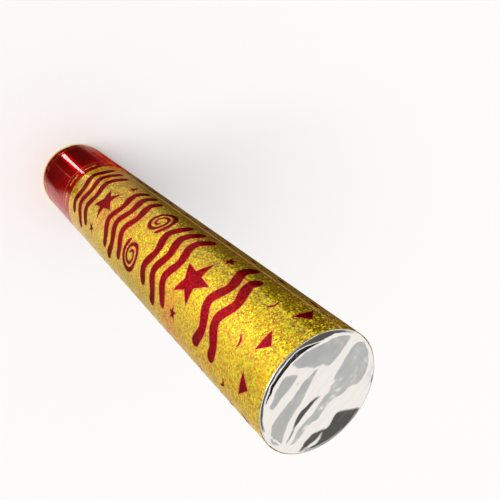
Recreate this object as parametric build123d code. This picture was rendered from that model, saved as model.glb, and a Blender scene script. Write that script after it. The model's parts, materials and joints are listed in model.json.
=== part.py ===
from build123d import *
import math
import os

# Confetti popper: a paperboard tube that is twisted by hand and fires on compressed air.
# It stands on the end of its grip. The origin is the centre of that end face and +Z runs up
# the barrel to the muzzle. Lengths are in millimetres and angles in degrees.

# Overall sizes
overall_length = 300.0
outer_diameter = 52.0
grip_length = 67.0
seam_gap = 0.4
twist_angle = 90.0

# Fits between pieces
glue_gap = 0.05
running_gap = 0.3
thrust_gap = 0.1
cut_overrun = 1.0

# Paperboard tubes and their printed labels
tube_wall = 2.0
label_thickness = 0.2
label_setback = 0.4
lap_width = 12.0
lap_angle = 213.0
mouth_round_size = 0.7
mouth_round_share = 0.4

# Metallised film over the muzzle
film_thickness = 0.15
film_gap = 0.02
film_skirt = 10.0
film_dish = 2.0

# Base plug that closes the grip
plug_recess = 3.0
plug_plate = 2.4
plug_height = 6.0
plug_skirt_wall = 1.8
plug_bead_radius = 15.0
plug_bead_width = 2.0
plug_bead_height = 0.8
plug_rib_width = 1.4
plug_rib_start = 8.0
plug_rib_count = 6

# Air bottle
bottle_wall = 2.2
bottle_glue_gap = 0.25
bottle_rise = 5.0
bottle_dome_height = 11.0
neck_radius = 9.0
neck_bore_radius = 6.4
neck_height = 12.0
spigot_depth = 10.0
spigot_end_gap = 0.6

# Bottle end, its O-ring and the rubber filling bung
end_plate = 2.4
end_skirt_height = 8.0
end_skirt_wall = 3.4
end_seal_section = 1.9
end_seal_squeeze = 0.02
seal_side_gap = 0.2
end_boss_radius = 6.0
end_boss_height = 6.0
end_rib_width = 1.6
end_rib_count = 6
fill_hole_radius = 2.5
bung_head_radius = 4.2
bung_head_height = 1.6
bung_barb_radius = 3.3
bung_barb_height = 3.6
bung_tip_radius = 1.3

# Valve cage on the neck, with its gasket
gasket_thickness = 0.8
cage_skirt_wall = 3.75
cage_skirt_drop = 10.0
cage_shoulder = 3.2
cage_grip_count = 12
cage_grip_radius = 0.8
seat_radius = 6.0
seat_length = 5.2
guide_bore_radius = 7.0
guide_wall = 2.5
guide_cap = 2.0
washer_thickness = 0.8

# Cam sleeve, cross pin and retaining ring
valve_lift = 7.0
pin_radius = 1.5
pin_fit = 0.02
pin_end_gap = 0.3
pin_chamfer = 0.3
slot_gap = 0.2
cam_wall = 2.5
cam_foot = 2.4
cam_cap = 1.5
key_width = 4.0
key_height = 7.5
key_reach = 1.2
key_angle = 45.0
key_count = 2
ring_thickness = 1.2
ring_groove_depth = 1.0
ring_reach = 1.8
ring_opening = 50.0

# Valve plunger and its O-ring
plug_side_gap = 0.1
plug_inset = 0.6
nose_radius = 3.0
nose_height = 3.4
plunger_seal_section = 1.4
plunger_seal_gap = 0.03
core_radius = 3.2
wing_width = 2.2
wing_count = 4
wing_rise = 6.0
pin_boss_wall = 1.1

# Drive collar in the barrel
collar_wall = 2.6
web_thickness = 3.0
hub_wall = 2.2
hub_height = 8.0
collar_rib_width = 1.6
collar_rib_height = 5.0
collar_rib_count = 6
cup_seat_gap = 3.0

# Pusher cup and confetti
cup_gap = 0.5
cup_floor = 2.4
cup_wall = 1.2
cup_height = 10.0
headspace = 16.0
layer_count = 3
layer_gap = 0.2
stack_gap = 0.4
stack_fit = 0.2
packs_per_stack = 5
pack_stagger = 0.3

# Radii of the tubes and of what turns between them
outer_radius = outer_diameter / 2
tube_outer_radius = outer_radius - label_thickness
tube_bore_radius = tube_outer_radius - tube_wall
film_seat_radius = tube_outer_radius - film_thickness - 2 * film_gap
mouth_wall = film_seat_radius - tube_bore_radius
mouth_round = min(mouth_round_size, mouth_wall * mouth_round_share)
film_reach = tube_bore_radius + mouth_round
spigot_radius = tube_bore_radius - running_gap
collar_radius = tube_bore_radius - glue_gap
collar_bore_radius = spigot_radius - collar_wall
bottle_radius = tube_bore_radius - bottle_glue_gap
bottle_upper_radius = collar_bore_radius - running_gap
bottle_bore_radius = bottle_radius - bottle_wall
cage_radius = neck_radius + glue_gap + cage_skirt_wall
guide_radius = guide_bore_radius + guide_wall
cam_bore_radius = guide_radius + running_gap
cam_radius = cam_bore_radius + cam_wall
slot_half_width = pin_radius + slot_gap

# Heights, stacked from the floor up
grip_top = grip_length - seam_gap / 2
barrel_bottom = grip_length + seam_gap / 2
barrel_top = overall_length - film_thickness - film_gap
plate_top = plug_recess + plug_plate
plug_top = plug_recess + plug_height
end_top = plug_top + end_plate
spigot_bottom = grip_length - spigot_depth
step_z = spigot_bottom - spigot_end_gap
shoulder_z = grip_length + bottle_rise
neck_base = shoulder_z + bottle_dome_height
neck_top = neck_base + neck_height
ledge_z = neck_top + gasket_thickness
seat_top = ledge_z + seat_length
cage_shoulder_z = ledge_z + cage_shoulder
web_bottom = cage_shoulder_z + washer_thickness + thrust_gap
web_top = web_bottom + web_thickness
pin_z = web_top + cam_foot + slot_half_width
cam_top = pin_z + valve_lift + slot_half_width + cam_cap
ring_bottom = cam_top + thrust_gap
ring_top = ring_bottom + ring_thickness
guide_top = ring_top + guide_cap
cup_seat = guide_top + cup_seat_gap
confetti_bottom = cup_seat + cup_floor
confetti_top = overall_length - headspace


def turned(*edges):
    """A solid of revolution about Z from a closed outline of (radius, height) edges."""
    return revolve(Plane.XZ * make_face(Curve() + list(edges)), Axis.Z)


def turned_points(*points):
    """A solid of revolution about Z from the corners of its outline."""
    return turned(*Polyline(*points, close=True).edges())


def ring(outer, inner, low, high):
    """A plain ring between two heights."""
    return turned_points((inner, low), (outer, low), (outer, high), (inner, high))


def around(shape, count, start=0.0):
    """Copies of a shape, evenly spaced about Z."""
    return [Rot(0, 0, start + step * 360 / count) * shape for step in range(count)]


def radial_bar(start, end, width, low, high):
    """A straight bar along +X from one radius to another."""
    size = Box(end - start, width, high - low, align=(Align.MIN, Align.CENTER, Align.MIN))
    return Pos(start, 0, low) * size


def quarter_arc(center, radius, start_angle):
    """A quarter circle of an outline, counter-clockwise from start_angle."""
    return CenterArc(center, radius, start_angle, 90)


def label(low, high):
    """A film label: one turn about the tube, and the lap where its end is stuck down."""
    lap_span = math.degrees(lap_width / outer_radius)
    outline = Pos(outer_radius + label_thickness / 2, (low + high) / 2)
    lap_face = Plane.XZ * outline * Rectangle(label_thickness, high - low)
    lap = Rot(0, 0, lap_angle) * revolve(lap_face, Axis.Z, lap_span)
    return ring(outer_radius, tube_outer_radius, low, high) + lap


def grip_sleeve():
    return ring(tube_outer_radius, tube_bore_radius, 0, grip_top)


def barrel_tube():
    """The barrel, relieved by the film's thickness at the mouth, with rounded lips."""
    film_seat = barrel_top - film_skirt
    lip = barrel_top - mouth_round
    return turned(
        Line((tube_bore_radius, barrel_bottom), (tube_outer_radius, barrel_bottom)),
        Line((tube_outer_radius, barrel_bottom), (tube_outer_radius, film_seat)),
        Line((tube_outer_radius, film_seat), (film_seat_radius, film_seat)),
        Line((film_seat_radius, film_seat), (film_seat_radius, lip)),
        quarter_arc((film_seat_radius - mouth_round, lip), mouth_round, 0),
        Line((film_seat_radius - mouth_round, barrel_top), (film_reach, barrel_top)),
        quarter_arc((film_reach, lip), mouth_round, 90),
        Line((tube_bore_radius, lip), (tube_bore_radius, barrel_bottom)),
    )


def film_arc(drop):
    """The dished middle of the film, lowered by drop."""
    bend = (film_reach**2 + film_dish**2) / (2 * film_dish)
    middle = film_reach / 2
    rise = bend - math.sqrt(bend**2 - middle**2)
    centre_z = overall_length - film_dish - drop
    edge = (film_reach, overall_length - drop)
    return ThreePointArc(edge, (middle, centre_z + rise), (0, centre_z))


def foil_seal():
    """Film drawn over the mouth: a skirt, a rounded rim and a slack middle."""
    skirt_radius = film_seat_radius + film_gap + film_thickness
    skirt_inner = skirt_radius - film_thickness
    skirt_bottom = barrel_top - film_skirt + film_gap
    bend = (film_seat_radius - mouth_round, barrel_top - mouth_round)
    outer_bend = mouth_round + film_gap + film_thickness
    underside = overall_length - film_thickness
    return turned(
        Line((skirt_inner, skirt_bottom), (skirt_radius, skirt_bottom)),
        Line((skirt_radius, skirt_bottom), (skirt_radius, bend[1])),
        quarter_arc(bend, outer_bend, 0),
        Line((bend[0], overall_length), (film_reach, overall_length)),
        film_arc(0),
        Line((0, overall_length - film_dish), (0, underside - film_dish)),
        film_arc(film_thickness),
        Line((film_reach, underside), (bend[0], underside)),
        quarter_arc(bend, outer_bend - film_thickness, 0),
        Line((skirt_inner, bend[1]), (skirt_inner, skirt_bottom)),
    )


def base_plug():
    """Moulded plug, set back in the grip's end, with ribs that carry the bottle."""
    radius = tube_bore_radius - glue_gap
    skirt_inner = radius - plug_skirt_wall
    plug = turned_points(
        (0, plug_recess),
        (radius, plug_recess),
        (radius, plug_top),
        (skirt_inner, plug_top),
        (skirt_inner, plate_top),
        (0, plate_top),
    )
    bead_inner = plug_bead_radius - plug_bead_width
    plug += ring(plug_bead_radius, bead_inner, plug_recess - plug_bead_height, plate_top)
    rib_end = radius - plug_skirt_wall / 2
    rib = radial_bar(plug_rib_start, rib_end, plug_rib_width, plug_recess, plug_top)
    return plug + around(rib, plug_rib_count)


def air_bottle():
    """Bottle with a wide body in the grip, a narrower journal for the barrel and a neck."""
    upper_bore = bottle_upper_radius - bottle_wall
    inner_step = step_z - bottle_wall
    outer_dome = EllipticalCenterArc(
        (neck_radius, shoulder_z), bottle_upper_radius - neck_radius, bottle_dome_height, arc_size=90
    )
    inner_dome = EllipticalCenterArc(
        (neck_bore_radius, shoulder_z),
        upper_bore - neck_bore_radius,
        bottle_dome_height - bottle_wall,
        arc_size=90,
    )
    inner_neck = neck_base - bottle_wall
    return turned(
        Line((bottle_bore_radius, end_top), (bottle_radius, end_top)),
        Line((bottle_radius, end_top), (bottle_radius, step_z)),
        Line((bottle_radius, step_z), (bottle_upper_radius, step_z)),
        Line((bottle_upper_radius, step_z), (bottle_upper_radius, shoulder_z)),
        outer_dome,
        Line((neck_radius, neck_base), (neck_radius, neck_top)),
        Line((neck_radius, neck_top), (neck_bore_radius, neck_top)),
        Line((neck_bore_radius, neck_top), (neck_bore_radius, inner_neck)),
        inner_dome,
        Line((upper_bore, shoulder_z), (upper_bore, inner_step)),
        Line((upper_bore, inner_step), (bottle_bore_radius, inner_step)),
        Line((bottle_bore_radius, inner_step), (bottle_bore_radius, end_top)),
    )


end_skirt_radius = bottle_bore_radius - glue_gap
end_seal_radius = bottle_bore_radius - end_seal_squeeze - end_seal_section / 2
end_seal_z = end_top + end_skirt_height / 2


def bottle_end():
    """End of the bottle: plate, grooved skirt, boss for the bung and ribs between them."""
    skirt_inner = end_skirt_radius - end_skirt_wall
    skirt_top = end_top + end_skirt_height
    boss_top = end_top + end_boss_height
    end = turned_points(
        (0, plug_top), (bottle_radius, plug_top), (bottle_radius, end_top), (0, end_top)
    )
    end += ring(end_skirt_radius, skirt_inner, end_top, skirt_top)
    end += ring(end_boss_radius, fill_hole_radius, end_top, boss_top)
    rib_inner = (end_boss_radius + fill_hole_radius) / 2
    rib_outer = skirt_inner + end_skirt_wall / 2
    rib = radial_bar(rib_inner, rib_outer, end_rib_width, plug_top, boss_top)
    end += around(rib, end_rib_count)
    groove_floor = end_seal_radius - end_seal_section / 2 - end_seal_squeeze
    groove_low = end_seal_z - end_seal_section / 2 - seal_side_gap
    groove_high = end_seal_z + end_seal_section / 2 + seal_side_gap
    end -= ring(end_skirt_radius + cut_overrun, groove_floor, groove_low, groove_high)
    hole_length = end_top - plug_top + 2 * cut_overrun
    return end - Pos(0, 0, (plug_top + end_top) / 2) * Cylinder(fill_hole_radius, hole_length)


def bottle_end_seal():
    return Pos(0, 0, end_seal_z) * Torus(end_seal_radius, end_seal_section / 2)


def fill_plug():
    """Rubber bung: a flat head outside, a stem in the boss and a barb above it."""
    stem = fill_hole_radius - glue_gap
    boss_top = end_top + end_boss_height
    return turned_points(
        (0, plug_top - bung_head_height),
        (bung_head_radius, plug_top - bung_head_height),
        (bung_head_radius, plug_top),
        (stem, plug_top),
        (stem, boss_top),
        (bung_barb_radius, boss_top),
        (bung_tip_radius, boss_top + bung_barb_height),
        (0, boss_top + bung_barb_height),
    )


def neck_gasket():
    return ring(neck_radius, neck_bore_radius, neck_top, ledge_z)


def lengthwise_slot(radius):
    """A cut for the pin's straight travel, through both walls of the guide tube."""
    outline = SlotCenterToCenter(valve_lift, 2 * slot_half_width, rotation=90)
    return extrude(Plane.YZ * Pos(0, pin_z + valve_lift / 2) * outline, radius, both=True)


def valve_cage():
    """Valve body: a skirt on the neck, the valve bore and a slotted guide tube."""
    skirt_bottom = neck_top - cage_skirt_drop
    skirt_bore = neck_radius + glue_gap
    groove_radius = guide_radius - ring_groove_depth
    cage = turned_points(
        (skirt_bore, skirt_bottom),
        (cage_radius, skirt_bottom),
        (cage_radius, cage_shoulder_z),
        (guide_radius, cage_shoulder_z),
        (guide_radius, ring_bottom - glue_gap),
        (groove_radius, ring_bottom - glue_gap),
        (groove_radius, ring_top + glue_gap),
        (guide_radius, ring_top + glue_gap),
        (guide_radius, guide_top),
        (guide_bore_radius, guide_top),
        (guide_bore_radius, seat_top),
        (seat_radius, seat_top),
        (seat_radius, ledge_z),
        (skirt_bore, ledge_z),
    )
    flute_height = cage_shoulder_z - skirt_bottom + 2 * cut_overrun
    flute_middle = (cage_shoulder_z + skirt_bottom) / 2
    flute = Pos(cage_radius, 0, flute_middle) * Cylinder(cage_grip_radius, flute_height)
    cage -= around(flute, cage_grip_count)
    return cage - lengthwise_slot(guide_radius + cut_overrun)


def thrust_washer():
    return ring(cage_radius, cam_bore_radius, cage_shoulder_z, cage_shoulder_z + washer_thickness)


def retaining_ring():
    """Open spring ring in the guide tube's groove, above the cam sleeve."""
    inner = guide_radius - ring_groove_depth + glue_gap
    outer = guide_radius + ring_reach
    section = Rectangle(outer - inner, ring_thickness)
    outline = Pos((inner + outer) / 2, (ring_bottom + ring_top) / 2) * section
    return Rot(0, 0, ring_opening / 2) * revolve(Plane.XZ * outline, Axis.Z, 360 - ring_opening)


plunger_seal_radius = seat_radius - plunger_seal_gap - plunger_seal_section / 2
plunger_bottom = ledge_z + plug_inset
plunger_seal_z = (plunger_bottom + seat_top) / 2


def valve_plunger():
    """Valve plug with a grooved head, a coned nose, four guide wings and the pin's boss."""
    plug_radius = seat_radius - plug_side_gap
    groove_floor = plunger_seal_radius - plunger_seal_section / 2 - film_gap
    groove_half = plunger_seal_section / 2 + seal_side_gap
    wing_radius = guide_bore_radius - running_gap
    wing_top = pin_z + wing_rise
    head_top = seat_top + thrust_gap
    plunger = turned_points(
        (0, plunger_bottom - nose_height),
        (nose_radius, plunger_bottom - nose_height),
        (plug_radius, plunger_bottom),
        (plug_radius, plunger_seal_z - groove_half),
        (groove_floor, plunger_seal_z - groove_half),
        (groove_floor, plunger_seal_z + groove_half),
        (plug_radius, plunger_seal_z + groove_half),
        (plug_radius, head_top),
        (core_radius, head_top),
        (core_radius, wing_top),
        (0, wing_top),
    )
    wing = radial_bar(0, wing_radius, wing_width, head_top, wing_top)
    plunger += around(wing, wing_count)
    boss_radius = pin_radius + pin_boss_wall
    boss_length = 2 * math.sqrt(wing_radius**2 - boss_radius**2)
    across = Pos(0, 0, pin_z) * Rot(0, 90, 0)
    plunger += across * Cylinder(boss_radius, boss_length)
    return plunger - across * Cylinder(pin_radius + pin_fit, 2 * guide_radius)


def plunger_seal():
    return Pos(0, 0, plunger_seal_z) * Torus(plunger_seal_radius, plunger_seal_section / 2)


def cross_pin():
    pin = Cylinder(pin_radius, 2 * (cam_radius - pin_end_gap))
    pin = chamfer(pin.edges().filter_by(GeomType.CIRCLE), pin_chamfer)
    return Pos(0, 0, pin_z) * Rot(0, 90, 0) * pin


def helical_slot():
    """The cuts of the pin's path in the turning sleeve, which climbs as the barrel is twisted."""
    pitch = valve_lift * 360 / twist_angle
    middle_radius = (cam_bore_radius + cam_radius) / 2
    path = Helix(pitch, valve_lift, middle_radius, lefthand=True)
    depth = cam_wall + 2 * cut_overrun
    across = Plane(path @ 0, x_dir=(1, 0, 0), z_dir=path % 0)
    section = across * Rectangle(depth, 2 * slot_half_width)
    climb = sweep(section, path=path, is_frenet=True)
    lower_end = Pos(middle_radius, 0, 0) * Rot(0, 90, 0) * Cylinder(slot_half_width, depth)
    upper_end = Pos(0, 0, valve_lift) * Rot(0, 0, -twist_angle) * lower_end
    return [Pos(0, 0, pin_z) * cut for cut in (climb, lower_end, upper_end)]


def cam_sleeve():
    """Sleeve keyed in the collar, with a helical slot for each end of the pin."""
    cam = ring(cam_radius, cam_bore_radius, web_top, cam_top)
    key_root = cam_radius - cam_wall / 2
    key_end = cam_radius + key_reach
    key = radial_bar(key_root, key_end, key_width, web_top, web_top + key_height)
    cam += around(key, key_count, key_angle)
    for cut in helical_slot():
        cam -= around(cut, key_count)
    return cam


def drive_collar():
    """Collar glued in the barrel: a spigot in the grip, a web on the washer and a keyed hub."""
    hub_bore = cam_radius + glue_gap
    hub_radius = hub_bore + hub_wall
    hub_top = web_top + hub_height
    collar = turned_points(
        (collar_bore_radius, spigot_bottom),
        (spigot_radius, spigot_bottom),
        (spigot_radius, grip_length),
        (collar_radius, grip_length),
        (collar_radius, cup_seat),
        (collar_bore_radius, cup_seat),
        (collar_bore_radius, web_top),
        (hub_radius, web_top),
        (hub_radius, hub_top),
        (hub_bore, hub_top),
        (hub_bore, web_top),
        (cam_bore_radius, web_top),
        (cam_bore_radius, web_bottom),
        (collar_bore_radius, web_bottom),
    )
    rib_start = hub_bore + hub_wall / 2
    rib_end = collar_bore_radius + collar_wall / 2
    rib_top = web_top + collar_rib_height
    rib = radial_bar(rib_start, rib_end, collar_rib_width, web_bottom, rib_top)
    collar += around(rib, collar_rib_count)
    keyway_root = cam_radius - cam_wall / 2
    keyway_end = cam_radius + key_reach + glue_gap
    keyway_width = key_width + 2 * glue_gap
    keyway = radial_bar(keyway_root, keyway_end, keyway_width, web_top, hub_top + cut_overrun)
    return collar - around(keyway, key_count, key_angle)


cup_radius = tube_bore_radius - cup_gap
cup_bore_radius = cup_radius - cup_wall


def pusher_cup():
    cup_top = cup_seat + cup_height
    return turned_points(
        (0, cup_seat),
        (cup_radius, cup_seat),
        (cup_radius, cup_top),
        (cup_bore_radius, cup_top),
        (cup_bore_radius, confetti_bottom),
        (0, confetti_bottom),
    )


stack_side = (math.sqrt(2) * (cup_bore_radius - stack_fit) - stack_gap) / 2
stack_length = (confetti_top - confetti_bottom - (layer_count - 1) * layer_gap) / layer_count


def slip_stack():
    """One stack of paper slips, as packs that don't quite line up."""
    pack = stack_side / packs_per_stack
    stack = Part()
    for step in range(packs_per_stack):
        width = stack_side - pack_stagger * (step % 2)
        slab = Box(width, pack, stack_length, align=(Align.CENTER, Align.MIN, Align.MIN))
        stack += Pos(0, step * pack - stack_side / 2, 0) * slab
    return stack


def confetti(quarter):
    """The stacks of one colour: one in each layer, a quarter turn on from the layer below."""
    reach = (stack_side + stack_gap) / 2
    stacks = []
    for layer in range(layer_count):
        height = confetti_bottom + layer * (stack_length + layer_gap)
        place = Rot(0, 0, 90 * (quarter + layer)) * Pos(reach, reach, height)
        stacks.append(place * slip_stack())
    return Part() + stacks


pieces = {
    "grip_sleeve": grip_sleeve(),
    "grip_label": label(label_setback, grip_top),
    "base_plug": base_plug(),
    "air_bottle": air_bottle(),
    "bottle_end": bottle_end(),
    "bottle_end_seal": bottle_end_seal(),
    "fill_plug": fill_plug(),
    "neck_gasket": neck_gasket(),
    "valve_cage": valve_cage(),
    "thrust_washer": thrust_washer(),
    "retaining_ring": retaining_ring(),
    "valve_plunger": valve_plunger(),
    "plunger_seal": plunger_seal(),
    "cross_pin": cross_pin(),
    "barrel_tube": barrel_tube(),
    "barrel_label": label(barrel_bottom, barrel_top - mouth_round),
    "foil_seal": foil_seal(),
    "drive_collar": drive_collar(),
    "cam_sleeve": cam_sleeve(),
    "pusher_cup": pusher_cup(),
}
for quarter, colour in enumerate(("gold", "red", "silver", "green")):
    pieces[f"confetti_{colour}"] = confetti(quarter)

os.makedirs("parts", exist_ok=True)
for name, piece in pieces.items():
    export_step(piece, f"parts/{name}.step")

print(f"pin height {pin_z:.2f}, cup seat {cup_seat:.2f}")
print(f"confetti {confetti_bottom:.2f} to {confetti_top:.2f}")
print(f"stack {stack_side:.2f} x {stack_length:.2f}, {len(pieces)} pieces")
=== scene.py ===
# %% [markdown]
# # A confetti popper, dressed in Blender
# The popper is a paperboard tube that is twisted by hand. Its solids come from the CAD
# frame and are already in the right place, so this lesson only adds what the eye needs:
# glitter film, print, a crumpled foil lid and soft studio light. Blender works in metres, and
# the sizes here are written in millimetres times MM.

import json
import math

import bpy
from mathutils import Matrix, noise


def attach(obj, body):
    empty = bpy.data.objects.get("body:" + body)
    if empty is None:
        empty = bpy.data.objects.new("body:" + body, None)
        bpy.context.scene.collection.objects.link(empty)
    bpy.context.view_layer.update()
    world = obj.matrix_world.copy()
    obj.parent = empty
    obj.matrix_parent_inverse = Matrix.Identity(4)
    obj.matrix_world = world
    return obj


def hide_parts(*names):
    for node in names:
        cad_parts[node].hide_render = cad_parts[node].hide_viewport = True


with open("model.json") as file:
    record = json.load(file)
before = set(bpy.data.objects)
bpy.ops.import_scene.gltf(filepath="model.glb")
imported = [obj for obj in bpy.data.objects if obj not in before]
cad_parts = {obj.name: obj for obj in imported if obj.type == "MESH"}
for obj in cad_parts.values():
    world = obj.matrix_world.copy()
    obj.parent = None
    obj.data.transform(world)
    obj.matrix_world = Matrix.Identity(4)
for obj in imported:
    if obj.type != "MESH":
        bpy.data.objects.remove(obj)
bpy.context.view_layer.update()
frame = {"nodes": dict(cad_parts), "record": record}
nodes = frame["nodes"]
MM = 0.001

# %% [markdown]
# ## The camera
# The photograph was taken from close by, above the muzzle, so the tube shrinks strongly
# towards its grip. A camera can be turned by hand until the picture fits, but its place, its
# turn and its lens pull against each other, so all three were fitted to the outline of the
# tube. A turn is easiest to write as three directions: right, up and back from the picture.

# %% Camera
CAMERA_PLACE = (0.0, -0.1742112, 0.4345119)
CAMERA_RIGHT = (-0.66102, 0.54409, 0.51671)
CAMERA_UP = (-0.74342, -0.56851, -0.35233)
CAMERA_BACK = (0.10205, -0.61704, 0.78030)
CAMERA_LENS = 42.4735
CAMERA_SENSOR = 36.0
CAMERA_NEAR = 0.01

bpy.ops.object.select_all(action="DESELECT")
turn = Matrix((CAMERA_RIGHT, CAMERA_UP, CAMERA_BACK)).transposed().to_euler()
bpy.ops.object.camera_add(location=CAMERA_PLACE, rotation=turn)
camera = bpy.context.object
camera.data.lens = CAMERA_LENS
camera.data.sensor_width = CAMERA_SENSOR
camera.data.clip_start = CAMERA_NEAR
bpy.context.scene.camera = camera
bpy.context.scene.view_settings.view_transform = "Standard"
print("camera lens", camera.data.lens, "mm")

# %% [markdown]
# ## Helpers for materials
# Colours are written as the hex codes that a colour picker shows. Blender wants linear
# light, so one function converts them. Another adds one node, sets it and links it, and that
# is enough for every finish below.

# %% Helpers for materials


def colour(code):
    """Linear RGBA from a hex code such as #d8b020."""
    parts = [int(code[i:i + 2], 16) / 255 for i in (1, 3, 5)]
    linear = [c / 12.92 if c <= 0.04045 else ((c + 0.055) / 1.055) ** 2.4 for c in parts]
    return (*linear, 1.0)


def add_node(owner, kind, inputs=None, **settings):
    """Adds a node to a material or world, with its options and its input values or links."""
    node = owner.node_tree.nodes.new(kind)
    for option, value in settings.items():
        setattr(node, option, value)
    for socket, value in (inputs or {}).items():
        if isinstance(value, bpy.types.NodeSocket):
            owner.node_tree.links.new(value, node.inputs[socket])
        else:
            node.inputs[socket].default_value = value
    return node


def new_material(name):
    """A fresh material and its shader."""
    material = bpy.data.materials.new(name)
    material.use_nodes = True
    return material, material.node_tree.nodes["Principled BSDF"]


def link(owner, output, shader, socket):
    """Links an output to a socket of the shader."""
    owner.node_tree.links.new(output, shader.inputs[socket])


def set_ramp(node, stops):
    """Gives a colour ramp its stops, as (place, hex code)."""
    ramp = node.color_ramp
    while len(ramp.elements) < len(stops):
        ramp.elements.new(0.5)
    for element, (place, code) in zip(ramp.elements, stops):
        element.position = place
        element.color = colour(code)


# %% [markdown]
# ## Glitter film
# The labels are polyester film, coated with metal and pressed with tiny flat facets, each of
# which mirrors another bit of the room. An image could hold them, but it would blur close up.
# Cells of a Voronoi texture stay sharp: each cell gets its own small tilt, brightness and
# hue. Broad soft bands drift from greenish to orange along the tube, as pressed film does. A
# thin clear coat on top keeps the long even highlights. The real facets are about 0.3 mm
# wide. They are drawn at 0.65 mm, so that they show.

# %% Glitter film
FACET = 0.65
FACET_ROUGHNESS = 0.29
BAND = 26.0
BAND_ROUND = 0.45
COAT_ROUGHNESS = 0.04


def glitter_film(name, band_stops, edge_tint, coat, tilt, dark, bright, hue_spread):
    """Metallised film with pressed facets.

    tilt is how far a facet leans, dark and bright are the limits of its brightness, and
    hue_spread is how far its hue strays.
    """
    material, shader = new_material(name)
    place = add_node(material, "ShaderNodeTexCoord").outputs["Object"]
    cells = add_node(material, "ShaderNodeTexVoronoi",
                     {"Vector": place, "Scale": 1 / (FACET * MM)})
    chance = add_node(material, "ShaderNodeSeparateColor", {"Color": cells.outputs["Color"]})
    stretched = add_node(material, "ShaderNodeMapping",
                         {"Vector": place, "Scale": (BAND_ROUND, BAND_ROUND, 1.0)})
    drift = add_node(material, "ShaderNodeTexNoise",
                     {"Vector": stretched.outputs["Vector"], "Scale": 1 / (BAND * MM),
                      "Detail": 3.0, "Roughness": 0.6})
    band = add_node(material, "ShaderNodeValToRGB", {"Fac": drift.outputs["Fac"]})
    set_ramp(band, band_stops)
    hue = add_node(material, "ShaderNodeMapRange",
                   {"Value": chance.outputs["Red"], "To Min": 0.5 - hue_spread,
                    "To Max": 0.5 + hue_spread})
    glow = add_node(material, "ShaderNodeMapRange",
                    {"Value": chance.outputs["Green"], "To Min": dark, "To Max": bright})
    facet_colour = add_node(material, "ShaderNodeHueSaturation",
                            {"Hue": hue.outputs["Result"], "Value": glow.outputs["Result"],
                             "Color": band.outputs["Color"]})
    centred = add_node(material, "ShaderNodeVectorMath",
                       {0: cells.outputs["Color"], 1: (0.5, 0.5, 0.5)}, operation="SUBTRACT")
    leaning = add_node(material, "ShaderNodeVectorMath",
                       {0: centred.outputs["Vector"], "Scale": tilt}, operation="SCALE")
    normal = add_node(material, "ShaderNodeNewGeometry").outputs["Normal"]
    facing = add_node(material, "ShaderNodeVectorMath",
                      {0: normal, 1: leaning.outputs["Vector"]}, operation="ADD")
    unit = add_node(material, "ShaderNodeVectorMath",
                    {0: facing.outputs["Vector"]}, operation="NORMALIZE")
    link(material, facet_colour.outputs["Color"], shader, "Base Color")
    link(material, unit.outputs["Vector"], shader, "Normal")
    shader.inputs["Metallic"].default_value = 1.0
    shader.inputs["Specular Tint"].default_value = colour(edge_tint)
    shader.inputs["Roughness"].default_value = FACET_ROUGHNESS
    shader.inputs["Coat Weight"].default_value = coat
    shader.inputs["Coat Roughness"].default_value = COAT_ROUGHNESS
    return material


# %% [markdown]
# ## Films and inks
# The barrel's film is gold. Inks on such film are transparent, so each is the same film in
# another colour, and the red of the grip is one of them. Crimson ink lies on the gold, salmon
# is where its edge thins out, and pale lines cross the red.

# %% Films and inks
gold_film = glitter_film(
    "gold_glitter_film", [(0.32, "#d2b016"), (0.50, "#eac41e"), (0.68, "#f0a42c")],
    edge_tint="#fff6d4", coat=0.32, tilt=0.38, dark=0.47, bright=1.29, hue_spread=0.05)
red_film = glitter_film(
    "red_ink_on_glitter_film", [(0.30, "#a40c16"), (0.70, "#c8181e")],
    edge_tint="#e84848", coat=0.6, tilt=0.36, dark=0.7, bright=1.15, hue_spread=0.012)
crimson_ink = glitter_film(
    "crimson_ink_on_glitter_film", [(0.30, "#8c0618"), (0.70, "#b00820")],
    edge_tint="#702028", coat=0.10, tilt=0.36, dark=0.65, bright=1.25, hue_spread=0.012)
pale_ink = glitter_film(
    "pale_red_ink_on_glitter_film", [(0.30, "#e88c78"), (0.70, "#f0a48c")],
    edge_tint="#d8b0a0", coat=0.3, tilt=0.30, dark=0.8, bright=1.15, hue_spread=0.012)
salmon_ink = glitter_film(
    "salmon_ink_on_glitter_film", [(0.30, "#d88c50"), (0.70, "#e4a264")],
    edge_tint="#d0a080", coat=0.2, tilt=0.30, dark=0.8, bright=1.15, hue_spread=0.012)
for film in (gold_film, red_film, crimson_ink, pale_ink, salmon_ink):
    print("film:", film.name)

# %% [markdown]
# ## The wrapped labels
# Each label is one sheet of film, glued round the tube with its ends lapped. A spiral of
# faces could draw it, but a cylinder without caps keeps the sheet even. The row of points
# beside the lap's edge is turned up close to it, and the lap itself is scaled outwards by one
# thickness, which leaves a crisp step along the tube. A Solidify modifier gives the film its
# thickness, inwards from the outside.

# %% Lapped sheet
RADIUS = 26.0
FILM = 0.2
LAP_FROM = 213.0
LAP_TO = 238.5
SIDES = 240
SIDE = 360 / SIDES
STEP = 0.05
NEAR = 0.01
CREASE = math.radians(25)


def angle_of(point):
    """The angle of a point round the tube, from 0 to 360 degrees."""
    return math.degrees(math.atan2(point.y, point.x)) % 360


def select_points(piece, wanted):
    """Enters edit mode with only the wanted points selected."""
    bpy.ops.object.mode_set(mode="EDIT")
    bpy.ops.mesh.select_mode(type="VERT")
    bpy.ops.mesh.select_all(action="DESELECT")
    bpy.ops.object.mode_set(mode="OBJECT")
    for vertex in piece.data.vertices:
        vertex.select = wanted(vertex)
    bpy.ops.object.mode_set(mode="EDIT")


def print_radii(piece):
    """Says how far a wrapped piece reaches from the tube's axis."""
    radii = [math.hypot(v.co.x, v.co.y) / MM for v in piece.data.vertices]
    print(piece.name, len(piece.data.polygons), "faces, radii", min(radii), max(radii))


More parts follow.
